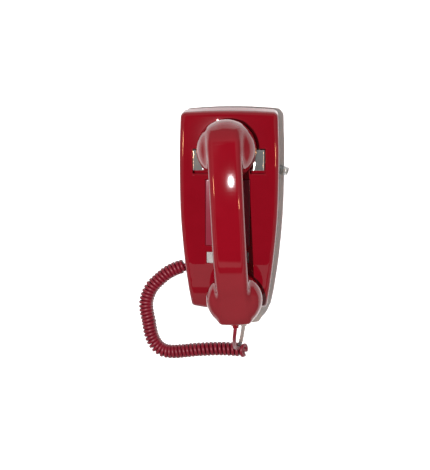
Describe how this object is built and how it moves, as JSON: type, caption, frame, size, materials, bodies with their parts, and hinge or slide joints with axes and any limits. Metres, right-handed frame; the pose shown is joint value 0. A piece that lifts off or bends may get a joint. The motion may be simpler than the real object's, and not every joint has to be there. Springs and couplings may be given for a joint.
{
  "type": "slimline wall phone",
  "caption": "Slim tapered wall telephone without a dial, round-ended handset in chrome prongs, curly handset cord.",
  "frame": {"origin": "middle of the base plate's face that goes against the wall", "axes": "+X to the phone's right, +Y to its top, +Z out of the wall; the phone is modelled lying on its back"},
  "size_m": [0.173, 0.2914, 0.1081],
  "materials": {
    "red_plastic": "polished red thermoplastic",
    "chrome": "bright plate",
    "steel": "zinc plated, dull",
    "spring_steel": "drawn wire and strip",
    "gong_brass": "satin",
    "nickel_silver": "bright strip",
    "winding": "varnished winding",
    "black_plastic": "moulded, matt",
    "grey_plastic": "moulded, satin",
    "clear_plastic": "clear polycarbonate",
    "paper": "plain white card",
    "red_cord": "smooth red vinyl jacket",
    "grey_cord": "smooth grey vinyl jacket"
  },
  "bodies": {
    "phone": {"housing": "red_plastic", "base_plate": "steel", "housing_screw": "steel", "dial_blank_panel": "red_plastic", "card_window": "clear_plastic", "number_card": "paper", "hook_pivot_bracket": "steel", "hook_pivot_pin": "steel", "hook_return_spring": "spring_steel", "pin_clip_left": "spring_steel", "pin_clip_right": "spring_steel", "contact_pile": "black_plastic", "network_block": "grey_plastic", "terminal_screw_1": "gong_brass", "terminal_screw_2": "gong_brass", "terminal_screw_3": "gong_brass", "terminal_screw_4": "gong_brass", "ringer_frame": "steel", "ringer_coil": "winding", "bias_spring": "spring_steel", "gong_left": "gong_brass", "gong_right": "gong_brass", "gong_post_left": "steel", "gong_post_right": "steel", "loudness_wheel_pin": "steel", "handset_jack": "black_plastic", "handset_cord_plug": "clear_plastic", "jack_lead": "red_cord", "handset_cord_coil": "red_cord", "line_grommet": "black_plastic", "line_cord": "grey_cord", "line_plug": "clear_plastic"},
    "handset": {"handset_shell": "red_plastic", "handset_grommet": "red_plastic", "receiver_cap": "red_plastic", "receiver_unit": "grey_plastic", "transmitter_cap": "red_plastic", "transmitter_unit": "grey_plastic", "transmitter_cup": "black_plastic", "handset_lead": "red_cord"},
    "hook": {"switchhook_cradle": "chrome"},
    "contact": {"contact_leaf": "nickel_silver"},
    "clapper": {"clapper": "steel"},
    "loudness": {"loudness_wheel": "grey_plastic"}
  },
  "joints": [
    {"name": "handset_lift", "type": "slide", "parent": "phone", "child": "handset", "axis": [0, 0, 1], "range_m": [0, 0.09]},
    {"name": "hook_press", "type": "hinge", "parent": "phone", "child": "hook", "pos_m": [0, 0.06, 0.017], "axis": [1, 0, 0], "range_deg": [0, 6.5], "stiffness_Nm_per_rad": 0.5, "springref_deg": -5.73},
    {"name": "contact_flex", "type": "hinge", "parent": "phone", "child": "contact", "pos_m": [0.0185, 0.012, 0.0136], "axis": [1, 0, 0], "range_deg": [-6.2, 0]},
    {"name": "clapper_swing", "type": "hinge", "parent": "phone", "child": "clapper", "pos_m": [0, -0.029, 0.015], "axis": [0, 0, 1], "range_deg": [-4.5, 4.5], "stiffness_Nm_per_rad": 0.005},
    {"name": "loudness_turn", "type": "hinge", "parent": "phone", "child": "loudness", "pos_m": [0.024, -0.1043, 0.006], "axis": [0, 0, 1], "range_deg": [-45, 45]}
  ],
  "couplings": [
    {"joint": "contact_flex", "follows": "hook_press", "ratio": -0.92}
  ]
}
